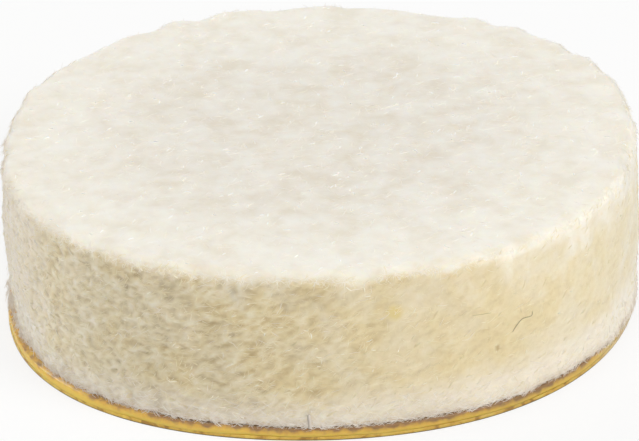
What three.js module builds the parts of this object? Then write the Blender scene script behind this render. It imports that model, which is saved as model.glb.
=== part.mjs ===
// Self-adhesive felt furniture pad: a thick disc of pressed white wool felt, die-cut together with
// the amber adhesive film under it and the golden release liner that covers the adhesive.
//
// Millimetres, +Z up. The origin is the centre of the liner's underside, so the pad lies on its
// liner with the felt wear face up, as it comes off the sheet.
//
// The felt wall is what a steel-rule die leaves in thick felt: the blade squeezes the slab as it
// goes through and the wool springs back, so the foot is drawn in just above the adhesive, the
// belly stands out, the shoulder leans in and rolls over softly to the face, and the fibres that
// the blade tears make wall and rim uneven.

import * as THREE from "three";

// Pad
const padDiameter = 19.95; // as the die cuts felt, film and liner together, on average
const cornerCount = 4; // the flexing die leaves the outline very softly square
const cornerSwell = 0.13; // how far the corners stand out and the sides between them stand in
const cornerTurn = 39; // degrees from +X to the first corner

// Felt disc
const feltThickness = 5.25;
const footInset = 0.08; // how far the squeezed foot stands inside the belly, which is full size
const footCorner = 0.09; // corner radius where the wall meets the adhesive
const bellyHeight = 3.1; // widest level of the wall, above the foot
const shoulderInset = 0.05; // how far the wall leans in below the rim
const rimRound = 0.4; // radius of the soft edge round the wear face
const fallWidth = 3.2; // width of the ring over which the wear face falls to its soft edge
const rimSag = 0.08; // how far it falls there
const slip = 0.09; // how far the felt sprang toward +X on its film and liner as the die let go
const faceStretch = 0.1; // how far the wear face is drawn out along one diagonal, and in across it
const stretchTurn = 150; // degrees from +X to that diagonal

// Torn-fibre unevenness of the wall and rim, as a mix of broad lumps and small tufts
const lumpLength = 2.2;
const lumpDepth = 0.06;
const tuftLength = 0.85;
const tuftDepth = 0.06;
const rimTuftDepth = 0.13; // at the rim, where the blade enters and tears most
const rimLift = 0.08; // how far the same unevenness raises or lowers the rim

// Adhesive film
const adhesiveThickness = 0.25;
const adhesiveInset = 0.04; // inside the liner's edge
const oozeLength = 1.4; // wavelength of the film's uneven edge
const oozeDepth = 0.03;

// Release liner
const linerThickness = 0.125;

// Facets
const turnSteps = 200; // round the pad
const bellySteps = 6; // foot to belly
const shoulderSteps = 5; // belly to rim
const cornerSteps = 2;
const rimSteps = 5;
const faceSteps = 3; // wear face, rim to flat
const edgeSteps = 4; // the adhesive's rounded edge

const feltRadius = padDiameter / 2;
const footRadius = feltRadius - footInset;
const linerRadius = padDiameter / 2;
const adhesiveRadius = linerRadius - adhesiveInset;
const adhesiveBase = linerThickness;
const feltBase = adhesiveBase + adhesiveThickness;

const feltMaterial = new THREE.MeshStandardMaterial({ color: "#ece7da", roughness: 1, metalness: 0 });
const adhesiveMaterial = new THREE.MeshStandardMaterial({ color: "#b98534", roughness: 0.3, metalness: 0 });
const linerMaterial = new THREE.MeshStandardMaterial({ color: "#d9ac45", roughness: 0.35, metalness: 0 });

// A fixed value from -1 to 1 for each point of a lattice.
function latticeValue(column, row) {
  let bits = (Math.imul(column + 11, 374761393) + Math.imul(row + 7, 668265263)) | 0;
  bits = Math.imul(bits ^ (bits >>> 13), 1274126177);
  bits ^= bits >>> 16;
  return ((bits >>> 0) / 0xffffffff) * 2 - 1;
}

// Smooth unevenness from -1 to 1 over a wall that closes on itself: angle in radians, height in mm,
// and the distance from one lump to the next on a wall of the given radius.
function unevenness(angle, height, wallRadius, spacing) {
  const columns = Math.max(3, Math.round((2 * Math.PI * wallRadius) / spacing));
  const across = (angle / (2 * Math.PI)) * columns;
  const up = height / spacing;
  const column = Math.floor(across);
  const row = Math.floor(up);
  const right = THREE.MathUtils.smoothstep(across - column, 0, 1);
  const above = THREE.MathUtils.smoothstep(up - row, 0, 1);
  const wrap = (c) => ((c % columns) + columns) % columns;
  const level = (r) =>
    THREE.MathUtils.lerp(latticeValue(wrap(column), r), latticeValue(wrap(column + 1), r), right);
  return THREE.MathUtils.lerp(level(row), level(row + 1), above);
}

// How far the die-cut outline stands out of round at an angle. Inside the outline it fades to the axis.
function outOfRound(angle, radius) {
  const turn = angle - THREE.MathUtils.degToRad(cornerTurn);
  return cornerSwell * Math.cos(cornerCount * turn) * (radius / feltRadius);
}

// Moves every vertex of a revolved solid out of round, and by what shift(angle, radius, height) says
// it moves outwards and upwards besides. The solid's axis is Z.
function disturb(geometry, shift) {
  const position = geometry.getAttribute("position");
  const point = new THREE.Vector3();
  for (let i = 0; i < position.count; i += 1) {
    point.fromBufferAttribute(position, i);
    const radius = Math.hypot(point.x, point.y);
    const angle = Math.atan2(point.y, point.x);
    const { outwards, upwards } = shift(angle, radius, point.z);
    const scale = radius > 0 ? (radius + outwards + outOfRound(angle, radius)) / radius : 1;
    position.setXYZ(i, point.x * scale, point.y * scale, point.z + upwards);
  }
  geometry.computeVertexNormals();
  return geometry;
}

// Revolves a profile of (radius, height) curves, each with its number of steps, round Z. The
// profile runs from the axis at the bottom, out and up, and back to the axis at the top.
function revolve(stretches) {
  const profile = [];
  for (const [curve, steps] of stretches) {
    for (const point of curve.getPoints(steps)) {
      const last = profile[profile.length - 1];
      if (!last || last.distanceTo(point) > 1e-6) profile.push(point);
    }
  }
  return new THREE.LatheGeometry(profile, turnSteps).rotateX(Math.PI / 2);
}

const at = (radius, height) => new THREE.Vector2(radius, height);
const straight = (from, to) => new THREE.LineCurve(from, to);

function feltDisc() {
  const shoulderRadius = feltRadius - shoulderInset;
  const shoulderHeight = feltThickness - rimSag - rimRound;
  const rimCentre = at(shoulderRadius - rimRound, shoulderHeight);
  const flatRadius = rimCentre.x - fallWidth;
  const footPull = (bellyHeight - footCorner) / 2;
  const shoulderPull = (shoulderHeight - bellyHeight) / 2;

  const foot = straight(at(0, 0), at(footRadius - footCorner, 0));
  const corner = new THREE.EllipseCurve(
    footRadius - footCorner, footCorner, footCorner, footCorner, -Math.PI / 2, 0,
  );
  const belly = new THREE.CubicBezierCurve(
    at(footRadius, footCorner),
    at(footRadius, footCorner + footPull),
    at(feltRadius, bellyHeight - footPull),
    at(feltRadius, bellyHeight),
  );
  const shoulder = new THREE.CubicBezierCurve(
    at(feltRadius, bellyHeight),
    at(feltRadius, bellyHeight + shoulderPull),
    at(shoulderRadius, shoulderHeight - shoulderPull),
    at(shoulderRadius, shoulderHeight),
  );
  const rim = new THREE.EllipseCurve(rimCentre.x, rimCentre.y, rimRound, rimRound, 0, Math.PI / 2);
  const faceEdge = new THREE.CubicBezierCurve(
    at(rimCentre.x, feltThickness - rimSag),
    at(THREE.MathUtils.lerp(rimCentre.x, flatRadius, 1 / 3), feltThickness - rimSag),
    at(THREE.MathUtils.lerp(rimCentre.x, flatRadius, 2 / 3), feltThickness),
    at(flatRadius, feltThickness),
  );
  const flat = straight(at(flatRadius, feltThickness), at(0, feltThickness));

  const solid = revolve([
    [foot, 1],
    [corner, cornerSteps],
    [belly, bellySteps],
    [shoulder, shoulderSteps],
    [rim, rimSteps],
    [faceEdge, faceSteps],
    [flat, 1],
  ]);

  return disturb(solid, (angle, radius, height) => {
    const lump = unevenness(angle, height, feltRadius, lumpLength);
    const tuft = unevenness(angle, height, feltRadius, tuftLength);
    const onWall = THREE.MathUtils.smoothstep(radius, flatRadius, footRadius - footCorner);
    const offFoot = THREE.MathUtils.smoothstep(height, 0, footCorner);
    const nearRim = THREE.MathUtils.smoothstep(height, shoulderHeight, feltThickness - rimSag);
    const depth = THREE.MathUtils.lerp(tuftDepth, rimTuftDepth, nearRim);
    const ragged = (lump * lumpDepth + tuft * depth) * onWall * (0.4 + 0.6 * offFoot);
    const along = Math.cos(2 * (angle - THREE.MathUtils.degToRad(stretchTurn)));
    const stretch = faceStretch * along * (radius / feltRadius) * (height / feltThickness);
    return {
      outwards: ragged + stretch,
      upwards: (lump + tuft) * 0.5 * rimLift * onWall * nearRim,
    };
  });
}

function adhesiveFilm() {
  const edgeRadius = adhesiveThickness / 2;
  const solid = revolve([
    [straight(at(0, 0), at(adhesiveRadius - edgeRadius, 0)), 1],
    [
      new THREE.EllipseCurve(
        adhesiveRadius - edgeRadius, edgeRadius, edgeRadius, edgeRadius, -Math.PI / 2, Math.PI / 2,
      ),
      edgeSteps,
    ],
    [straight(at(adhesiveRadius - edgeRadius, adhesiveThickness), at(0, adhesiveThickness)), 1],
  ]);
  return disturb(solid, (angle, radius) => ({
    outwards: radius > 0 ? unevenness(angle, 0, adhesiveRadius, oozeLength) * oozeDepth : 0,
    upwards: 0,
  }));
}

function releaseLiner() {
  const solid = revolve([
    [straight(at(0, 0), at(linerRadius, 0)), 1],
    [straight(at(linerRadius, 0), at(linerRadius, linerThickness)), 1],
    [straight(at(linerRadius, linerThickness), at(0, linerThickness)), 1],
  ]);
  return disturb(solid, () => ({ outwards: 0, upwards: 0 }));
}

function piece(name, geometry, material, base, offset = 0) {
  const mesh = new THREE.Mesh(geometry, material);
  mesh.name = name;
  mesh.position.set(offset, 0, base);
  return mesh;
}

const pad = new THREE.Group();
pad.add(
  piece("felt_disc", feltDisc(), feltMaterial, feltBase, slip),
  piece("adhesive_film", adhesiveFilm(), adhesiveMaterial, adhesiveBase),
  piece("release_liner", releaseLiner(), linerMaterial, 0),
);

export default pad;
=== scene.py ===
# Self-adhesive felt furniture pad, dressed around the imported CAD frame: wool felt on adhesive and liner.
import math
import random

import bmesh
import bpy
from mathutils import Matrix, Vector, noise
from mathutils.bvhtree import BVHTree


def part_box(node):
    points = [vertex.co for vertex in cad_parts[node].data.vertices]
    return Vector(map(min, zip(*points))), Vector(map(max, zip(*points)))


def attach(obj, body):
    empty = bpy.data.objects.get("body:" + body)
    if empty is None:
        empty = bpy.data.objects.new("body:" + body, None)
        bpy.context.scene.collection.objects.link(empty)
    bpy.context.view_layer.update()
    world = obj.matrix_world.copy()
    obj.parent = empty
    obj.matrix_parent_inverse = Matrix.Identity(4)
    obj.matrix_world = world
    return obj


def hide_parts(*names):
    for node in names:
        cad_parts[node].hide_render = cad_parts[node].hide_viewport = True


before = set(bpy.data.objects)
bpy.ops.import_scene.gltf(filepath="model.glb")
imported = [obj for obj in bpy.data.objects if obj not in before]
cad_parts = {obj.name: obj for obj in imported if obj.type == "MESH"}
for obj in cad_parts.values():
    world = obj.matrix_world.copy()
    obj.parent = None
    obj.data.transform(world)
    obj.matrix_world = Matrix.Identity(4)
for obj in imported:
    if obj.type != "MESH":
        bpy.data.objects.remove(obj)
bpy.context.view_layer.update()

perMetre = 1000.0  # pieces are modelled in millimetres and scaled to metres when they are finished
mergeDistance = 0.0005  # mm, points closer than this are one point
feltLow, feltHigh = (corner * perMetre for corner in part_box("felt_disc"))
filmLow, filmHigh = (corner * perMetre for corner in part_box("adhesive_film"))
linerLow, linerHigh = (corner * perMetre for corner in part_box("release_liner"))
feltMiddle = (feltLow + feltHigh) / 2
feltRadius = (feltHigh.x - feltLow.x) / 2
filmRadius = (filmHigh.x - filmLow.x) / 2
linerRadius = (linerHigh.x - linerLow.x) / 2
print("frame loaded, felt", round(feltRadius * 2, 2), "mm across")


def hexToLinear(hexValue):
    channels = [int(hexValue[i:i + 2], 16) / 255 for i in (1, 3, 5)]
    return [c / 12.92 if c <= 0.04045 else ((c + 0.055) / 1.055) ** 2.4 for c in channels] + [1.0]


def addNode(tree, kind, settings=(), values=(), links=(), stops=()):
    # values and links go to the sockets that they name, stops are a colour ramp's places and colours
    node = tree.nodes.new("ShaderNode" + kind)
    for key, value in dict(settings).items():
        setattr(node, key, value)
    for key, value in dict(values).items():
        node.inputs[key].default_value = value
    for key, source in dict(links).items():
        output = source.outputs[0] if isinstance(source, bpy.types.Node) else source
        tree.links.new(output, node.inputs[key])
    for i, (place, hexValue) in enumerate(stops):
        element = node.color_ramp.elements[i] if i < 2 else node.color_ramp.elements.new(place)
        element.position = place
        element.color = hexToLinear(hexValue)
    return node


def emptyMaterial(name):
    material = bpy.data.materials.new(name)
    material.use_nodes = True
    material.node_tree.nodes.clear()
    return material, material.node_tree


# Camera: a long macro lens, about 26 degrees above the table, rolled a little
photoView = {
    "elevation": 26.2,     # degrees
    "roll": 2.4,           # degrees, the pad's left side hangs lower in the frame
    "distance": 240.0,     # mm, twelve pad widths
    "pixelsPerMm": 32.0,   # at the pad's middle
    "framePixels": 639.0,  # width of the picture
    "sensor": 36.0,        # mm
    "aimHeight": 2.57,     # mm above the table, at the pad's axis
    "clip": (0.01, 5.0),   # m
}


def makeCamera():
    view = photoView
    camera = bpy.data.objects.new("camera", bpy.data.cameras.new("camera"))
    bpy.context.scene.collection.objects.link(camera)
    tilt = math.radians(view["elevation"])
    back = Vector((0, -math.cos(tilt), math.sin(tilt)))
    aim = Vector((0, 0, view["aimHeight"]))
    camera.location = (aim + back * view["distance"]) / perMetre
    turn = (-back).to_track_quat("-Z", "Y").to_matrix().to_4x4()
    camera.rotation_euler = (turn @ Matrix.Rotation(-math.radians(view["roll"]), 4, "Z")).to_euler()
    camera.data.sensor_width = view["sensor"]
    camera.data.lens = view["distance"] * view["pixelsPerMm"] / view["framePixels"] * view["sensor"]
    camera.data.clip_start, camera.data.clip_end = view["clip"]
    bpy.context.scene.camera = camera


makeCamera()
print("camera placed")


def linkObject(name, mesh):
    piece = bpy.data.objects.new(name, mesh)
    bpy.context.scene.collection.objects.link(piece)
    return piece


def evaluatedMesh(piece, name):
    graph = bpy.context.evaluated_depsgraph_get()
    mesh = bpy.data.meshes.new_from_object(piece.evaluated_get(graph), depsgraph=graph)
    mesh.name = name
    return mesh


def finishPiece(name, mesh, material=None, replaced=None):
    # a mesh that was a curve brings its materials along
    mesh.transform(Matrix.Scale(1 / perMetre, 4))
    mesh.shade_smooth()
    if material:
        mesh.materials.clear()
        mesh.materials.append(material)
    piece = linkObject(name, mesh)
    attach(piece, "root")
    if replaced:
        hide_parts(replaced)
    mesh.calc_loop_triangles()
    print(name, "has", len(mesh.loop_triangles), "triangles")
    return piece


# Wool felt body: the CAD disc remeshed finely, then roughened like matted, die-cut wool
feltShape = {
    "voxel": 0.088,            # mm
    "smoothing": 0.5,          # share of a step toward each point's neighbours
    "footCut": 0.03,           # mm above the foot, where the hidden underside is sliced flat
    "cutSlack": 0.001,         # mm
    "wallEdge": (0.35, 0.85),  # upward part of the normal, from the wall to the wear face
    "faceBlotch": 0.5,         # mm from one soft hollow of the wear face to the next
    "faceDepth": 0.016,        # mm
    "faceGrain": 0.17,         # mm
    "faceGrainDepth": 0.008,   # mm
    "lockAlong": 0.62,         # mm, flattened locks of wool lie along the cut wall
    "lockAcross": 0.34,        # mm
    "lockDepth": 0.018,        # mm
    "tuftAlong": 0.26,         # mm
    "tuftAcross": 0.13,        # mm
    "tuftDepth": 0.039,        # mm
    "slant": 16.0,             # degrees, the locks climb to the right on the front
    "calm": 0.7,               # share of that roughness that fades out toward the wall's right
    "calmSpan": (-4.0, 4.0),   # mm from the axis, where it fades
    "pitRadius": 0.11,         # mm
    "pitDepth": 0.05,          # mm
}

# Small pits where the blade pulled wool out of the wall: angle in degrees, height in mm
pulledPits = [
    (-156.2, 4.23), (-144.3, 4.47), (-135.4, 4.3), (-123.5, 4.88), (-127.9, 3.25),
    (-126.7, 4.48), (-118.6, 4.48), (-106.5, 3.48), (-59.0, 2.3),
]


def remeshed(source, voxel):
    mesh = source.data.copy()
    mesh.transform(Matrix.Scale(perMetre, 4))
    bm = bmesh.new()
    bm.from_mesh(mesh)
    bmesh.ops.remove_doubles(bm, verts=bm.verts, dist=mergeDistance)
    bm.to_mesh(mesh)
    bm.free()
    work = linkObject("work", mesh)
    modifier = work.modifiers.new("Remesh", "REMESH")
    modifier.mode = "VOXEL"
    modifier.voxel_size = voxel
    fine = evaluatedMesh(work, "felt")
    bpy.data.objects.remove(work)
    return fine


def smoothStep(value, low, high):
    t = max(0.0, min(1.0, (value - low) / (high - low)))
    return t * t * (3 - 2 * t)


def slantedNoise(point, along, across, offset):
    climb = point.z - point.x * math.tan(math.radians(feltShape["slant"]))
    return noise.noise(Vector((point.x / along, point.y / along, climb / across)) + offset)


def pulledOut(point):
    angle = math.degrees(math.atan2(point.y, point.x))
    pit = 0.0
    for pitAngle, pitHeight in pulledPits:
        aside = math.radians(angle - pitAngle) * feltRadius
        pit += 1 - smoothStep(math.hypot(aside, point.z - pitHeight), 0.0, feltShape["pitRadius"])
    return pit * feltShape["pitDepth"]


def woolRelief(point, normal):
    # the offsets only keep the patterns apart
    shape = feltShape
    wall = 1 - smoothStep(abs(normal.z), *shape["wallEdge"])
    blotch = noise.noise(point / shape["faceBlotch"]) * shape["faceDepth"]
    grain = noise.noise(point / shape["faceGrain"] + Vector((7, 3, 1))) * shape["faceGrainDepth"]
    lock = slantedNoise(point, shape["lockAlong"], shape["lockAcross"], Vector((0, 0, 0)))
    tuft = slantedNoise(point, shape["tuftAlong"], shape["tuftAcross"], Vector((3, 9, 5)))
    rough = 1 - shape["calm"] * smoothStep(point.x, *shape["calmSpan"])
    cut = (lock * shape["lockDepth"] + tuft * shape["tuftDepth"]) * rough - pulledOut(point)
    return (blotch + grain) * (1 - wall) + cut * wall


def makeFelt(material):
    shape = feltShape
    mesh = remeshed(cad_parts["felt_disc"], shape["voxel"])
    bm = bmesh.new()
    bm.from_mesh(mesh)
    bmesh.ops.smooth_vert(bm, verts=bm.verts, factor=shape["smoothing"],
                          use_axis_x=True, use_axis_y=True, use_axis_z=True)
    footCut = Vector((0, 0, feltLow.z + shape["footCut"]))
    everything = bm.verts[:] + bm.edges[:] + bm.faces[:]
    bmesh.ops.bisect_plane(bm, geom=everything, dist=shape["cutSlack"], plane_co=footCut, plane_no=(0, 0, 1),
                           clear_inner=True)
    rim = [edge for edge in bm.edges if edge.is_boundary]
    bmesh.ops.holes_fill(bm, edges=rim, sides=0)
    bm.normal_update()
    # the nap also sets the wall's painted shade: the lower the wool sits, the darker its colour
    nap = bm.verts.layers.float.new("nap")  # how far each spot stands out, for the wool's colour
    tilt = bm.verts.layers.float.new("tilt")  # from 0 on the wall to 1 on the wear face
    for vert in bm.verts:
        vert[tilt] = max(0.0, vert.normal.z)
        if vert.co.z > footCut.z + shape["cutSlack"]:
            relief = woolRelief(vert.co, vert.normal)
            vert[nap] = 0.5 + relief / (shape["lockDepth"] + shape["tuftDepth"])
            vert.co += vert.normal * relief
    bm.normal_update()
    tree = BVHTree.FromBMesh(bm)
    bm.to_mesh(mesh)
    bm.free()
    body = finishPiece("felt_body", mesh, material, "felt_disc")
    return tree


softStep = {"interpolation_type": "SMOOTHSTEP"}

# Where the felt's tones change: distances and spans in mm
woolTones = {
    "fine": 0.18,                # single locks, from one to the next
    "broad": 0.8,                # blotches
    "patch": 1.6,                # yellowed patches
    "mottle": 0.75,              # clouds of the wear face
    "grain": 0.09,               # fibre grain, coarser than a real fibre so that it shows
    "grainDepth": 0.03,
    "looseSheenSpan": (4.0, 9.3),     # off the axis, trodden to loose, the loose rim whiter partly as painted sheen
    "leftEnd": (-8.2, -6.2),     # along X, whitish painted sheen to yellow
    "rightEnd": (10.0, 11.5),    # along X, yellow to faint whitish painted sheen
    "endRag": 3.0,               # how far the blotches push both about
    "rightHalf": (-1.0, 4.0),    # along X, where the whitish foot grows higher
    "foot": (1.1, 2.1),          # above the table, whitish foot to wall, partly painted light against the table's shade
    "footRag": 0.8,              # how far the blotches push that about
    "footRight": 0.3,            # how much higher it is on the right half
    "footEnds": 1.0,             # and at both ends
    "highUp": (3.3, 5.4),        # above the table, wall to loose rim
    "spill": (3.0, 8.5),         # along X, where the rim's white spills further down
    "soakedAndShaded": (0.56, 0.78),      # above the table, where the wool has drunk adhesive and painted shade darkens it
    "soakRag": 0.3,              # how far the single locks push that about
    "greaseSpot": (2.15, -9.72, 4.16),
    "greaseReach": (0.1, 0.35),  # from the spot's middle
}


def mapped(span, start=0.0, end=1.0):
    # what a MapRange has to hold to go from start to end over a span in mm
    low, high = span
    return {"From Min": low / perMetre, "From Max": high / perMetre, "To Min": start, "To Max": end}


def pressedWool():
    # Needled and pressed wool felt, die-cut: matt and soft all over, whiter on the matted wear face and its
    # rim (partly painted sheen), yellower with painted shade in the hollows of the cut wall, painted sheen at
    # the wall's ends, whitish where loose wool hangs at the foot, lightened there by painted light
    material, tree = emptyMaterial("pressedWoolFelt")
    sizes = woolTones
    place = addNode(tree, "TexCoord").outputs["Object"]
    axes = addNode(tree, "SeparateXYZ", links={"Vector": place})
    acrossX, height = axes.outputs["X"], axes.outputs["Z"]
    flat = addNode(tree, "VectorMath", {"operation": "MULTIPLY"}, {1: (1, 1, 0)}, {0: place})
    offAxis = addNode(tree, "VectorMath", {"operation": "LENGTH"}, links={0: flat}).outputs["Value"]
    nap = addNode(tree, "Attribute", {"attribute_name": "nap"}).outputs["Fac"]
    tilt = addNode(tree, "Attribute", {"attribute_name": "tilt"}).outputs["Fac"]

    fine = addNode(tree, "TexNoise", links={"Vector": place},
                   values={"Scale": perMetre / sizes["fine"], "Detail": 4, "Distortion": 1.5})
    broad = addNode(tree, "TexNoise", links={"Vector": place},
                    values={"Scale": perMetre / sizes["broad"], "Detail": 4, "Distortion": 0.8})
    patch = addNode(tree, "TexNoise", links={"Vector": place},
                    values={"Scale": perMetre / sizes["patch"], "Detail": 2, "Distortion": 0.5})

    # wear face: trodden flatter and greyer round the middle, looser and whiter to the rim, that whiteness
    # partly painted sheen
    mottle = addNode(tree, "TexNoise", links={"Vector": place},
                     values={"Scale": perMetre / sizes["mottle"], "Detail": 4, "Distortion": 0.15})
    trodden = addNode(tree, "ValToRGB", links={"Fac": mottle},
                      stops=[(0.3, "#ddd3bf"), (0.5, "#e6dfd0"), (0.7, "#ebe7db")])
    looseAndSheen = addNode(tree, "ValToRGB", links={"Fac": mottle},
                    stops=[(0.3, "#eae2cf"), (0.5, "#f1ebdc"), (0.7, "#f5f1e4")])
    outwards = addNode(tree, "MapRange", softStep, mapped(sizes["looseSheenSpan"]), {"Value": offAxis})
    face = addNode(tree, "MixRGB", links={"Fac": outwards, "Color1": trodden, "Color2": looseAndSheen})

    # cut wall: olive yellow and darker in the hollows as painted shade, cream on the locks, some patches
    # cleaner than others
    depth = addNode(tree, "Math", {"operation": "MULTIPLY_ADD"}, {1: 0.4}, {0: fine, 2: nap})
    # painted shade, darkest where the relief sinks into hollows
    reliefShade = addNode(tree, "MapRange", values={"From Min": 0.25, "From Max": 1.15}, links={"Value": depth})
    yellowed = addNode(tree, "ValToRGB", links={"Fac": reliefShade},
                       stops=[(0.0, "#c8b286"), (0.5, "#e1d0a5"), (1.0, "#eee2c3")])
    clean = addNode(tree, "ValToRGB", links={"Fac": reliefShade},
                    stops=[(0.0, "#cfbf9b"), (0.5, "#e4d6b4"), (1.0, "#efe5cd")])
    patches = addNode(tree, "MapRange", softStep, {"From Min": 0.4, "From Max": 0.62}, {"Value": patch})
    middle = addNode(tree, "MixRGB", links={"Fac": patches, "Color1": yellowed, "Color2": clean})

    # at the pad's left end, and a little at its right one, the wall is painted whitish as sheen of wool seen
    # edge-on
    along = addNode(tree, "Math", {"operation": "MULTIPLY_ADD"}, {1: sizes["endRag"] / perMetre},
                    {0: broad, 2: acrossX})
    leftEnd = addNode(tree, "MapRange", softStep, mapped(sizes["leftEnd"], 0.7, 0.0), {"Value": along})
    rightEnd = addNode(tree, "MapRange", softStep, mapped(sizes["rightEnd"], 0.0, 0.05), {"Value": along})
    ends = addNode(tree, "Math", {"operation": "ADD"}, links={0: leftEnd, 1: rightEnd})
    pale = addNode(tree, "MixRGB", values={"Color2": hexToLinear("#ece0ce")},
                   links={"Fac": ends, "Color1": middle})

    # one yellow spot of wool grease on the front
    spotMiddle = [c / perMetre for c in sizes["greaseSpot"]]
    away = addNode(tree, "VectorMath", {"operation": "DISTANCE"}, {1: spotMiddle}, {0: place})
    spot = addNode(tree, "MapRange", softStep, mapped(sizes["greaseReach"], 0.7, 0.0),
                   {"Value": away.outputs["Value"]})
    wall = addNode(tree, "MixRGB", values={"Color2": hexToLinear("#dfc97e")},
                   links={"Fac": spot, "Color1": pale})

    # foot: loose whitish wool, lightened further as painted light against the shade by the table, with a
    # ragged upper edge, that is higher at the right and at both ends
    foot = addNode(tree, "ValToRGB", links={"Fac": reliefShade}, stops=[(0.0, "#ddd1bb"), (1.0, "#f8f0df")])
    ragged = addNode(tree, "Math", {"operation": "MULTIPLY_ADD"}, {1: sizes["footRag"] / perMetre},
                     {0: broad, 2: height})
    rightHalf = addNode(tree, "MapRange", softStep, mapped(sizes["rightHalf"]), {"Value": acrossX})
    atRight = addNode(tree, "Math", {"operation": "MULTIPLY_ADD"}, {1: -sizes["footRight"] / perMetre},
                      {0: rightHalf, 2: ragged})
    atEnds = addNode(tree, "Math", {"operation": "MULTIPLY_ADD"}, {1: -sizes["footEnds"] / perMetre},
                     {0: ends, 2: atRight})
    footShare = addNode(tree, "MapRange", softStep, mapped(sizes["foot"], 1.0, 0.0), {"Value": atEnds})
    whitish = addNode(tree, "MixRGB", links={"Fac": footShare, "Color1": wall, "Color2": foot})

    # rim: the wear face's tones end raggedly, further down the wall toward the right
    highUp = addNode(tree, "MapRange", softStep, mapped(sizes["highUp"], 0.0, 0.3), {"Value": height})
    spill = addNode(tree, "MapRange", softStep, mapped(sizes["spill"], 1.0, 2.6), {"Value": acrossX})
    looser = addNode(tree, "Math", {"operation": "MULTIPLY_ADD"}, links={0: highUp, 1: spill, 2: tilt})
    edge = addNode(tree, "Math", {"operation": "MULTIPLY_ADD"}, {1: 1.1}, {0: broad, 2: looser})
    faceShare = addNode(tree, "MapRange", softStep, {"From Min": 0.74, "From Max": 1.56}, {"Value": edge})

    # the lowest wool has drunk some adhesive, its brown partly painted shade where felt meets adhesive
    drunk = addNode(tree, "Math", {"operation": "MULTIPLY_ADD"}, {1: sizes["soakRag"] / perMetre},
                    {0: fine, 2: height})
    soakedAndShaded = addNode(tree, "MapRange", softStep, mapped(sizes["soakedAndShaded"], 0.8, 0.0), {"Value": drunk})
    lower = addNode(tree, "MixRGB", values={"Color2": hexToLinear("#d3b78f")},
                    links={"Fac": soakedAndShaded, "Color1": whitish})
    tone = addNode(tree, "MixRGB", links={"Fac": faceShare, "Color1": lower, "Color2": face})

    grain = addNode(tree, "TexNoise", links={"Vector": place},
                    values={"Scale": perMetre / sizes["grain"], "Detail": 3, "Distortion": 2.0})
    bump = addNode(tree, "Bump", links={"Height": grain},
                   values={"Strength": 0.4, "Distance": sizes["grainDepth"] / perMetre})
    surface = addNode(tree, "BsdfPrincipled", values={
        "Roughness": 0.95, "Sheen Weight": 0.7, "Sheen Roughness": 0.5, "Specular IOR Level": 0.2,
        "Subsurface Weight": 0.6, "Subsurface Radius": (1.0, 0.8, 0.5), "Subsurface Scale": 0.0005,
    }, links={"Base Color": tone, "Normal": bump})
    addNode(tree, "OutputMaterial", links={"Surface": surface})
    return material


# Loose wool fibres, as thin three-sided tubes on curves. Lengths and thicknesses in mm, angles in degrees
fibreKinds = {
    "face_fibres": {
        "count": 3200, "seed": 11, "points": 5, "thickness": (0.011, 0.02), "length": (0.2, 0.75),
        "loft": (0.0, 0.006), "sink": 0.012, "curl": 1.6, "tints": {"ivory": 5, "pale": 3},
    },
    "wall_locks": {
        "count": 3600, "seed": 31, "points": 5, "thickness": (0.03, 0.055), "length": (0.2, 0.5),
        "loft": (-0.012, 0.002), "sink": 0.04, "curl": 1.2, "rise": (20, 22),
        "tints": {"cream": 5, "straw": 3},
    },
    "wall_fibres": {
        "count": 7000, "seed": 23, "points": 5, "thickness": (0.013, 0.023), "length": (0.2, 0.6),
        "loft": (0.0, 0.012), "sink": 0.02, "curl": 1.3, "rise": (22, 28),
        "tints": {"cream": 6, "straw": 4, "pale": 1},
    },
    "rim_fuzz": {
        "count": 3600, "seed": 41, "points": 4, "thickness": (0.007, 0.013), "length": (0.1, 0.3),
        "stand": (0.01, 0.05), "tints": {"ivory": 4, "pale": 1},
    },
    "foot_fringe": {
        "count": 7500, "seed": 53, "points": 4, "thickness": (0.011, 0.019), "length": (0.12, 0.42),
        "stand": (0.01, 0.08), "tints": {"pale": 5, "ivory": 1},
    },
    "wall_glints": {
        "count": 300, "seed": 67, "points": 5, "thickness": (0.024, 0.038), "length": (0.08, 0.22),
        "loft": (0.01, 0.03), "sink": 0.0, "curl": 1.0, "rise": (22, 28), "tints": {"bright": 1},
    },
    "face_glints": {
        "count": 300, "seed": 71, "points": 5, "thickness": (0.026, 0.044), "length": (0.08, 0.24),
        "loft": (0.01, 0.03), "sink": 0.0, "curl": 1.0, "tints": {"white": 1},
    },
}


# The form that all strands share
strandForm = {
    "endTaper": 0.35,    # share of the thickness that is left at a strand's tips
    "tipShare": 0.12,    # share of the swelling's half wave that is cut off at each tip
    "wobble": 0.25,      # radians, at each point of a strand that lies
    "rootDepth": 0.015,  # mm, of a strand that stands
    "rise": 0.7,         # a strand that stands rises early
    "lean": 1.3,         # and leans over late
    "bow": 0.35,         # share of its length that it bows sideways
}


def fibreProfile():
    curve = bpy.data.curves.new("profile", "CURVE")
    curve.dimensions = "2D"
    spline = curve.splines.new("POLY")
    spline.points.add(2)
    for i, point in enumerate(spline.points):
        angle = i * 2 * math.pi / 3
        point.co = (math.cos(angle), math.sin(angle), 0, 1)
    spline.use_cyclic_u = True
    return linkObject("profile", curve)


def emptyStrands(name, profile, tints):
    # the materials come first, because a strand can only have a tint that its curve already knows
    curve = bpy.data.curves.new(name, "CURVE")
    curve.dimensions = "3D"
    curve.bevel_mode = "OBJECT"
    curve.bevel_object = profile
    curve.use_fill_caps = True
    for material in tints:
        curve.materials.append(material)
    return curve


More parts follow.
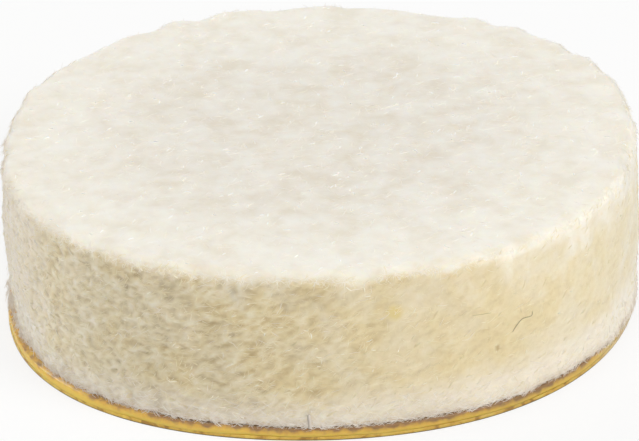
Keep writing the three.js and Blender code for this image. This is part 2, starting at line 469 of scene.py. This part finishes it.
def addStrand(curve, path, radii, tint):
    spline = curve.splines.new("POLY")
    spline.points.add(len(path) - 1)
    spline.points.foreach_set("co", [c for point in path for c in (*point, 1.0)])
    spline.points.foreach_set("radius", radii)
    spline.material_index = tint
    spline.use_smooth = True


def strandsToPiece(name, curve):
    work = linkObject("work", curve)
    mesh = evaluatedMesh(work, name)
    bpy.data.objects.remove(work)
    piece = finishPiece(name, mesh)
    piece.visible_shadow = False  # wool lets the light through, so it draws no dark lines on the felt


def strandRadii(thickness, count):
    tip, thin = strandForm["tipShare"], strandForm["endTaper"]
    swell = [math.sin(math.pi * (tip + (1 - 2 * tip) * i / (count - 1))) for i in range(count)]
    return [thickness / 2 * (thin + (1 - thin) * s) for s in swell]


def lyingPath(tree, start, heading, length, spec, draw):
    # creeps over the felt, its ends tucked in and its middle lifted
    count = spec["points"]
    step = length / (count - 1)
    loft = draw.uniform(*spec["loft"])
    bend = draw.uniform(-spec["curl"], spec["curl"]) * step
    location, normal, _, _ = tree.find_nearest(start)
    path = []
    for i in range(count):
        arch = math.sin(math.pi * i / (count - 1))
        path.append(location + normal * (loft * arch - spec["sink"] * (1 - arch)))
        heading = (heading - normal * heading.dot(normal)).normalized()
        turn = bend + draw.uniform(-strandForm["wobble"], strandForm["wobble"])
        heading = (Matrix.Rotation(turn, 3, normal) @ heading).normalized()
        location, normal, _, _ = tree.find_nearest(location + heading * step)
    return path


def standingPath(tree, start, heading, length, spec, draw, lowest=0.0):
    # grows out of the felt and leans over along it
    count = spec["points"]
    reach = draw.uniform(*spec["stand"])
    location, normal, _, _ = tree.find_nearest(start)
    heading = (heading - normal * heading.dot(normal)).normalized()
    across = normal.cross(heading)
    form = strandForm
    bend = draw.uniform(-form["bow"], form["bow"]) * length
    path = []
    for i in range(count):
        share = i / (count - 1)
        point = location + normal * (reach * share ** form["rise"] - form["rootDepth"])
        point += heading * (length * share ** form["lean"])
        point += across * (bend * share * share)
        point.z = max(point.z, lowest)
        path.append(point)
    return path


# Where the strands grow, and how the fringe at the foot hangs. Sizes in mm, ends as the outward X of the wall
fibrePlaces = {
    "paleSpan": (7.8, 9.8),     # left of the axis, where more and more strands are pale, adding to the painted sheen there
    "clearance": 0.5,           # off the wall, where a strand's root is looked for
    "fewer": 0.8,               # share of the wall's strands that is missing at its right end
    "fewerSpan": (-0.3, 0.6),
    "wallMargin": 0.1,          # kept free at foot and rim
    "rimBelow": 0.15,
    "rimAbove": 0.5,
    "footLift": 0.02,           # the lowest roots of the fringe
    "footReach": 1.1,           # the highest roots above them
    "leftSpan": (0.93, 0.985),
    "rightSpan": (0.8, 0.93),
    "overSpan": (0.972, 0.99),  # hangs out over the band at the far left
    "standLeft": (0.05, 0.1),   # added to how far the fringe stands off
    "standOver": (0.08, 0.04),
    "fall": (-0.25, 0.6),       # downward part of the fringe's heading, mean and spread
    "fallMore": 1.5,            # and what the ends add
    "clump": 0.22,
    "clumpHang": 0.4,           # how far clumps hang over the band
    "endHang": 0.3,             # and what the ends add
}


def makeStrands(name, profile, materials, pathFor):
    spec = fibreKinds[name]
    draw = random.Random(spec["seed"])
    curve = emptyStrands(name, profile, [materials[tint] for tint in spec["tints"]])
    shares = list(spec["tints"].values())
    for _ in range(spec["count"]):
        path = pathFor(spec, draw)
        radii = strandRadii(draw.uniform(*spec["thickness"]), len(path))
        tint = draw.choices(range(len(shares)), shares)[0]
        # near the left end strands turn pale, a painted sheen of the wall seen edge-on
        if "pale" in spec["tints"] and -path[0].x > draw.uniform(*fibrePlaces["paleSpan"]):
            tint = list(spec["tints"]).index("pale")
        addStrand(curve, path, radii, tint)
    strandsToPiece(name, curve)


def wallStart(draw, low, high, fewer=0.0):
    # fewer is the share of the strands that is missing at the wall's right end
    outward = None
    while outward is None or draw.random() < fewer * smoothStep(outward.x, *fibrePlaces["fewerSpan"]):
        angle = draw.uniform(0, 2 * math.pi)
        outward = Vector((math.cos(angle), math.sin(angle), 0))
    start = Vector((feltMiddle.x, feltMiddle.y, draw.uniform(low, high)))
    return start + outward * (feltRadius + fibrePlaces["clearance"]), outward


def makeFibres(tree, profile, materials):
    places = fibrePlaces

    def onFace(spec, draw):
        radius = feltRadius * math.sqrt(draw.random())
        angle, direction = draw.uniform(0, 2 * math.pi), draw.uniform(0, 2 * math.pi)
        start = Vector((radius * math.cos(angle), radius * math.sin(angle), feltHigh.z))
        heading = Vector((math.cos(direction), math.sin(direction), 0))
        return lyingPath(tree, start, heading, draw.uniform(*spec["length"]), spec, draw)

    def onWall(spec, draw):
        margin = places["wallMargin"]
        start, outward = wallStart(draw, feltLow.z + margin, feltHigh.z - margin, places["fewer"])
        rise = math.radians(draw.gauss(*spec["rise"]))
        heading = Vector((-outward.y, outward.x, 0)) * math.cos(rise) + Vector((0, 0, math.sin(rise)))
        return lyingPath(tree, start, heading, draw.uniform(*spec["length"]), spec, draw)

    def onRim(spec, draw):
        start, outward = wallStart(draw, feltHigh.z - places["rimBelow"], feltHigh.z + places["rimAbove"])
        aside = Vector((-outward.y, outward.x, 0))
        heading = aside * draw.gauss(0, 1) + outward * draw.uniform(0, 1) + Vector((0, 0, draw.gauss(0, 0.5)))
        return standingPath(tree, start, heading, draw.uniform(*spec["length"]), spec, draw)

    def onFoot(spec, draw):
        lowestRoot = feltLow.z + places["footLift"]
        start, outward = wallStart(draw, lowestRoot, lowestRoot + places["footReach"] * draw.random() ** 2)
        leftEnd = smoothStep(-outward.x, *places["leftSpan"])
        atEnds = smoothStep(outward.x, *places["rightSpan"]) + leftEnd
        over = smoothStep(-outward.x, *places["overSpan"])
        stands = zip(spec["stand"], places["standLeft"], places["standOver"])
        spec = {**spec, "stand": [usual + left * leftEnd + out * over for usual, left, out in stands]}
        aside = Vector((-outward.y, outward.x, 0)) * draw.choice((1, -1))
        fall = draw.gauss(*places["fall"]) - places["fallMore"] * (atEnds + over)
        clump = max(0.0, noise.noise(outward * feltRadius / places["clump"])) * places["clumpHang"]
        lowest = feltLow.z - clump * draw.random() - places["endHang"] * atEnds * draw.random()
        length = draw.uniform(*spec["length"])
        return standingPath(tree, start, aside + Vector((0, 0, fall)), length, spec, draw, lowest)

    makers = {"face_fibres": onFace, "wall_locks": onWall, "wall_fibres": onWall, "rim_fuzz": onRim,
              "foot_fringe": onFoot, "wall_glints": onWall, "face_glints": onFace}
    for name, pathFor in makers.items():
        makeStrands(name, profile, materials, pathFor)


# Stray hairs caught in the wall: thickness and lift off the wool in mm, and for each of their points
# the angle in degrees and the height in mm
strayHairs = {
    "dark": {
        "thickness": 0.024, "lift": 0.02,
        "points": [(-51.7, 3.14), (-51.7, 3.02), (-52.4, 3.0), (-53.7, 3.04), (-54.5, 2.97),
                   (-55.5, 2.8), (-56.1, 2.66)],
    },
    "olive": {
        "thickness": 0.02, "lift": 0.02,
        "points": [(-63.8, 3.65), (-62.3, 3.62), (-61.1, 3.6), (-60.0, 3.56)],
    },
    "grey": {
        "thickness": 0.13, "lift": 0.08,
        "points": [(-93.3, 0.9), (-93.2, 0.62), (-93.1, 0.36)],
    },
}
hairSteps = 4        # from one point to the next
hairSmoothing = 3    # rounds
hairOutside = 1.1    # felt radii off the axis, from where the wall is looked for


def makeStrayHairs(tree, profile, materials):
    curve = emptyStrands("stray_hairs", profile, materials)
    for tint, hair in enumerate(strayHairs.values()):
        path = []
        for (angle, height), (nextAngle, nextHeight) in zip(hair["points"], hair["points"][1:]):
            for i in range(hairSteps):
                share = i / hairSteps
                turn = math.radians(angle + (nextAngle - angle) * share)
                level = height + (nextHeight - height) * share
                outward = Vector((math.cos(turn), math.sin(turn), 0))
                outside = outward * feltRadius * hairOutside + Vector((0, 0, level))
                path.append(tree.ray_cast(outside, -outward)[0] + outward * hair["lift"])
        for _ in range(hairSmoothing):
            path = path[:1] + [(a + b + c) / 3 for a, b, c in zip(path, path[1:], path[2:])] + path[-1:]
        addStrand(curve, path, [hair["thickness"] / 2] * len(path), tint)
    strandsToPiece("stray_hairs", curve)


fibreDrift = 0.4  # mm from one tone of a fibre to the next


def woolFibre(name, dark, light):
    # Single scoured wool fibres: off-white and satin, with the dull shine of their scales
    material, tree = emptyMaterial(name)
    place = addNode(tree, "TexCoord").outputs["Object"]
    drift = addNode(tree, "TexNoise", values={"Scale": perMetre / fibreDrift, "Detail": 2},
                    links={"Vector": place})
    tone = addNode(tree, "ValToRGB", links={"Fac": drift}, stops=[(0.35, dark), (0.65, light)])
    surface = addNode(tree, "BsdfPrincipled", values={"Roughness": 0.6, "Specular IOR Level": 0.4},
                      links={"Base Color": tone})
    addNode(tree, "OutputMaterial", links={"Surface": surface})
    return material


# Amber adhesive and golden liner, spun round the pad's axis and set to the outline that the die cut
bandShape = {
    "steps": 720,
    "flat": 0.9,           # share of the radius that stays as it is
    "flatSlack": 0.01,     # mm
    "filmSteps": 8,        # from the film's lower edge to its upper one
    "filmTuck": 0.015,     # mm that the film's edge curls in under the felt
    "filmCurl": 3,         # how late it curls
    "filmFlow": 0.035,     # mm that it has flowed out, flush with the liner
    "filmWander": 0.012,   # mm
    "filmWave": 0.6,       # mm from one swelling of the edge to the next
    "linerCorner": 0.015,  # mm, rounded by the die
    "cornerSteps": 3,
    "linerWander": 0.006,  # mm
    "linerWave": 1.6,      # mm
    "waveLean": 0.3,       # how much the wander changes with height, against along the edge
}


def outlineTree(node):
    bm = bmesh.new()
    bm.from_mesh(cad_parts[node].data)
    bmesh.ops.remove_doubles(bm, verts=bm.verts, dist=mergeDistance / perMetre)
    bmesh.ops.scale(bm, verts=bm.verts, vec=(perMetre, perMetre, perMetre))
    tree = BVHTree.FromBMesh(bm)
    bm.free()
    return tree


def spunDisc(node, radius, flank, wander, wave, offset):
    # flank lists how far the edge stands in, and at what height, from the bottom up
    low, high = flank[0][1], flank[-1][1]
    inner = radius * bandShape["flat"]
    outline = [(0, low), (inner, low)] + [(radius - inset, level) for inset, level in flank]
    outline += [(inner, high), (0, high)]
    bm = bmesh.new()
    chain = [bm.verts.new((distance, 0, level)) for distance, level in outline]
    edges = [bm.edges.new(pair) for pair in zip(chain, chain[1:])]
    bmesh.ops.spin(bm, geom=chain + edges, axis=(0, 0, 1), cent=(0, 0, 0), dvec=(0, 0, 0),
                   angle=2 * math.pi, steps=bandShape["steps"], use_merge=True)
    bmesh.ops.remove_doubles(bm, verts=bm.verts, dist=mergeDistance)
    bmesh.ops.recalc_face_normals(bm, faces=bm.faces)
    tree = outlineTree(node)
    middle = Vector((0, 0, (low + high) / 2))
    for vert in bm.verts:
        distance = math.hypot(vert.co.x, vert.co.y)
        if distance > inner + bandShape["flatSlack"]:
            hit = tree.ray_cast(middle, Vector((vert.co.x, vert.co.y, 0)).normalized())[0]
            shift = math.hypot(hit.x, hit.y) - radius
            spot = Vector((vert.co.x, vert.co.y, vert.co.z * bandShape["waveLean"]))
            shift += noise.noise(spot / wave + offset) * wander
            vert.co.x *= (distance + shift) / distance
            vert.co.y *= (distance + shift) / distance
    mesh = bpy.data.meshes.new("disc")
    bm.to_mesh(mesh)
    bm.free()
    return mesh


def makeFilm(material):
    low, high = filmLow.z, filmHigh.z
    tuck, flow, curl = bandShape["filmTuck"], bandShape["filmFlow"], bandShape["filmCurl"]
    steps = bandShape["filmSteps"]
    flank = [(tuck * (i / steps) ** curl - flow, low + (high - low) * i / steps) for i in range(steps + 1)]
    mesh = spunDisc("adhesive_film", filmRadius, flank, bandShape["filmWander"], bandShape["filmWave"],
                    Vector((5, 1, 2)))
    finishPiece("adhesive", mesh, material, "adhesive_film")


def makeLiner(material):
    low, high = linerLow.z, linerHigh.z
    corner, steps = bandShape["linerCorner"], bandShape["cornerSteps"]
    turns = [math.radians(90 * i / steps) for i in range(steps + 1)]
    flank = [(corner * (1 - math.sin(a)), low + corner * (1 - math.cos(a))) for a in turns]
    flank += [(corner * (1 - math.cos(a)), high - corner * (1 - math.sin(a))) for a in turns]
    mesh = spunDisc("release_liner", linerRadius, flank, bandShape["linerWander"], bandShape["linerWave"],
                    Vector((1, 8, 4)))
    finishPiece("liner", mesh, material, "release_liner")


# Where the band's tones change: distances and spans in mm
bandTones = {
    "fringeShadeSpan": (-8.0, 6.0),    # along X, clean to darkened by a painted shadow of the wool fringe
    "dustSpan": (8.9, 9.7),     # from the band's middle to either side, clean to dusty
    "dustMiddle": -0.7,         # along X
    "dust": 0.5,                # share
    "clearSpan": (-9.0, -3.0),  # along X, where the adhesive is clear to its upper edge, with less painted shade
    "wool": 0.38,               # from one lock stuck in the adhesive to the next
    "cloud": 1.1,               # tones of the painted contact shadow along the liner's cut edge
    "stain": 0.45,              # tones of its paper
    "contactShadeSpan": (0.02, 0.05),    # above the table, painted contact shadow to paper
}


def shadedDustyBand(tree, acrossX, tone):
    # adhesive and liner darken toward the right with a painted shadow of the wool fringe, and are paler with
    # wool dust at both ends
    right = addNode(tree, "MapRange", values=mapped(bandTones["fringeShadeSpan"]), links={"Value": acrossX})
    fringeShade = addNode(tree, "MixRGB", {"blend_type": "MULTIPLY"}, {"Color2": hexToLinear("#d6d7dc")},
                   {"Fac": right, "Color1": tone})
    shift = -bandTones["dustMiddle"] / perMetre
    shifted = addNode(tree, "Math", {"operation": "ADD"}, {1: shift}, {0: acrossX})
    sideways = addNode(tree, "Math", {"operation": "ABSOLUTE"}, links={0: shifted})
    dusted = addNode(tree, "MapRange", softStep, mapped(bandTones["dustSpan"], 0.0, bandTones["dust"]),
                     {"Value": sideways})
    return addNode(tree, "MixRGB", values={"Color2": hexToLinear("#dfcaa6")},
                   links={"Fac": dusted, "Color1": fringeShade})


def amberAdhesive():
    # Acrylic pressure-sensitive adhesive, cast clear amber: glossy and glowing, browner toward its upper
    # edge, partly where wool sticks in it and partly as painted shade under the felt
    material, tree = emptyMaterial("amberAcrylicAdhesive")
    place = addNode(tree, "TexCoord").outputs["Object"]
    axes = addNode(tree, "SeparateXYZ", links={"Vector": place})
    acrossX, height = axes.outputs["X"], axes.outputs["Z"]
    wool = addNode(tree, "TexNoise", values={"Scale": perMetre / bandTones["wool"], "Detail": 4},
                   links={"Vector": place})
    level = addNode(tree, "MapRange", values=mapped((filmLow.z, filmHigh.z), -0.7, 0.3),
                    links={"Value": height})
    # clear to its upper edge at the left end, with less painted shade, where the felt stands back from it
    clearer = addNode(tree, "MapRange", values=mapped(bandTones["clearSpan"], -0.35, 0.0),
                      links={"Value": acrossX})
    raised = addNode(tree, "Math", {"operation": "ADD"}, links={0: level, 1: clearer})
    ragged = addNode(tree, "Math", {"operation": "MULTIPLY_ADD"}, {1: 1.6}, {0: wool, 2: raised})
    amber = addNode(tree, "ValToRGB", links={"Fac": ragged},
                    stops=[(0.4, "#fbd060"), (0.65, "#edbf5c"), (0.85, "#cda45e"), (1.0, "#a9855a")])
    tone = shadedDustyBand(tree, acrossX, amber)
    surface = addNode(tree, "BsdfPrincipled", values={
        "Roughness": 0.25, "IOR": 1.47, "Subsurface Weight": 0.5, "Subsurface Radius": (1.0, 0.5, 0.12),
        "Subsurface Scale": 0.0003,
    }, links={"Base Color": tone})
    addNode(tree, "OutputMaterial", links={"Surface": surface})
    return material


def goldenLiner():
    # Glassine release paper, dyed golden and siliconised: smooth satin, with a painted contact shadow along
    # the bottom of its die-cut edge
    material, tree = emptyMaterial("goldenGlassineLiner")
    place = addNode(tree, "TexCoord").outputs["Object"]
    axes = addNode(tree, "SeparateXYZ", links={"Vector": place})
    cloud = addNode(tree, "TexNoise", values={"Scale": perMetre / bandTones["cloud"], "Detail": 4},
                    links={"Vector": place})
    stain = addNode(tree, "TexNoise", links={"Vector": place},
                    values={"Scale": perMetre / bandTones["stain"], "Detail": 3, "Distortion": 1.0})
    paper = addNode(tree, "ValToRGB", links={"Fac": stain},
                    stops=[(0.36, "#b98c3e"), (0.48, "#ecbe53"), (0.66, "#fbd668")])
    # cut holds the painted contact shadow of the liner's lowest edge
    cut = addNode(tree, "ValToRGB", links={"Fac": cloud}, stops=[(0.4, "#6a5a2c"), (0.7, "#a68a3e")])
    lowest = addNode(tree, "MapRange", softStep, mapped(bandTones["contactShadeSpan"], 1.0, 0.0),
                     {"Value": axes.outputs["Z"]})
    golden = addNode(tree, "MixRGB", links={"Fac": lowest, "Color1": paper, "Color2": cut})
    tone = shadedDustyBand(tree, axes.outputs["X"], golden)
    surface = addNode(tree, "BsdfPrincipled", values={
        "Roughness": 0.3, "Subsurface Weight": 0.3, "Subsurface Radius": (1.0, 0.6, 0.15),
        "Subsurface Scale": 0.0002,
    }, links={"Base Color": tone})
    addNode(tree, "OutputMaterial", links={"Surface": surface})
    return material


profile = fibreProfile()
feltTree = makeFelt(pressedWool())
print("felt body made")
fibreTints = {
    "ivory": woolFibre("woolFibreIvory", "#f4efe3", "#fbf8f0"),
    "cream": woolFibre("woolFibreCream", "#ebe0c1", "#f4ebd2"),
    "straw": woolFibre("woolFibreStraw", "#e7dab4", "#efe4c5"),
    "pale": woolFibre("woolFibrePale", "#ede4d8", "#f8f2ea"),
    "bright": woolFibre("woolFibreBright", "#fbf4de", "#fffaec"),
    "white": woolFibre("woolFibreWhite", "#fffef8", "#ffffff"),
}
makeFibres(feltTree, profile, fibreTints)
hairTints = [
    woolFibre("strayHairDark", "#968b6d", "#aca182"),
    woolFibre("strayHairOlive", "#b5a983", "#c4b892"),
    woolFibre("strayHairGrey", "#cdc4ba", "#d8cfc5"),
]
makeStrayHairs(feltTree, profile, hairTints)
bpy.data.objects.remove(profile)
print("fibres made")
makeFilm(amberAdhesive())
makeLiner(goldenLiner())
print("adhesive and liner made")

# Stage: white table and soft studio lamps
stageSetup = {
    "floorSize": 0.6,     # m, from its middle to its edge
    "floorWhite": "#f4f4f2",
    "floorGlow": 0.8,     # share of plain white that the camera sees on the table
    "worldLevel": 0.366,  # light from all round
}


def makeStage():
    material, tree = emptyMaterial("whiteTable")
    seen = addNode(tree, "LightPath")
    diffuse = addNode(tree, "BsdfDiffuse", values={"Color": hexToLinear(stageSetup["floorWhite"])})
    glow = addNode(tree, "Emission", values={"Color": (1, 1, 1, 1), "Strength": 1.0})
    share = addNode(tree, "Math", {"operation": "MULTIPLY"}, {1: stageSetup["floorGlow"]},
                    {0: seen.outputs["Is Camera Ray"]})
    mixed = addNode(tree, "MixShader", links={0: share, 1: diffuse, 2: glow})
    addNode(tree, "OutputMaterial", links={"Surface": mixed})
    bm = bmesh.new()
    bmesh.ops.create_grid(bm, x_segments=2, y_segments=2, size=stageSetup["floorSize"])
    mesh = bpy.data.meshes.new("table")
    bm.to_mesh(mesh)
    bm.free()
    mesh.materials.append(material)
    linkObject("table", mesh)

    world = bpy.data.worlds.new("studio")
    bpy.context.scene.world = world
    world.use_nodes = True
    tree = world.node_tree
    tree.nodes.clear()
    seen = addNode(tree, "LightPath")
    level = addNode(tree, "MapRange", values={"To Min": stageSetup["worldLevel"], "To Max": 1.0},
                    links={"Value": seen.outputs["Is Camera Ray"]})
    back = addNode(tree, "Background", values={"Color": (1, 1, 1, 1)}, links={"Strength": level})
    addNode(tree, "OutputWorld", links={"Surface": back})


# Azimuth from the front toward the right and elevation in degrees, distance and size in m
lamps = {
    "overhead": {"azimuth": 20, "elevation": 78, "distance": 0.35, "size": 0.3, "watts": 0.26},
    "rightFront": {"azimuth": 52, "elevation": 34, "distance": 0.35, "size": 0.16, "watts": 0.627},
    "leftBack": {"azimuth": -110, "elevation": 24, "distance": 0.35, "size": 0.14, "watts": 0.46},
}


def makeLamps():
    for name, spec in lamps.items():
        lamp = bpy.data.lights.new(name, "AREA")
        lamp.shape = "DISK"
        lamp.size = spec["size"]
        lamp.energy = spec["watts"]
        holder = bpy.data.objects.new(name, lamp)
        bpy.context.scene.collection.objects.link(holder)
        turn, lift = math.radians(spec["azimuth"]), math.radians(spec["elevation"])
        away = Vector((math.sin(turn) * math.cos(lift), -math.cos(turn) * math.cos(lift), math.sin(lift)))
        holder.location = away * spec["distance"]
        holder.rotation_euler = (-away).to_track_quat("-Z", "Y").to_euler()


makeStage()
makeLamps()
bpy.context.scene.view_settings.view_transform = "Standard"
print("stage and lamps ready")
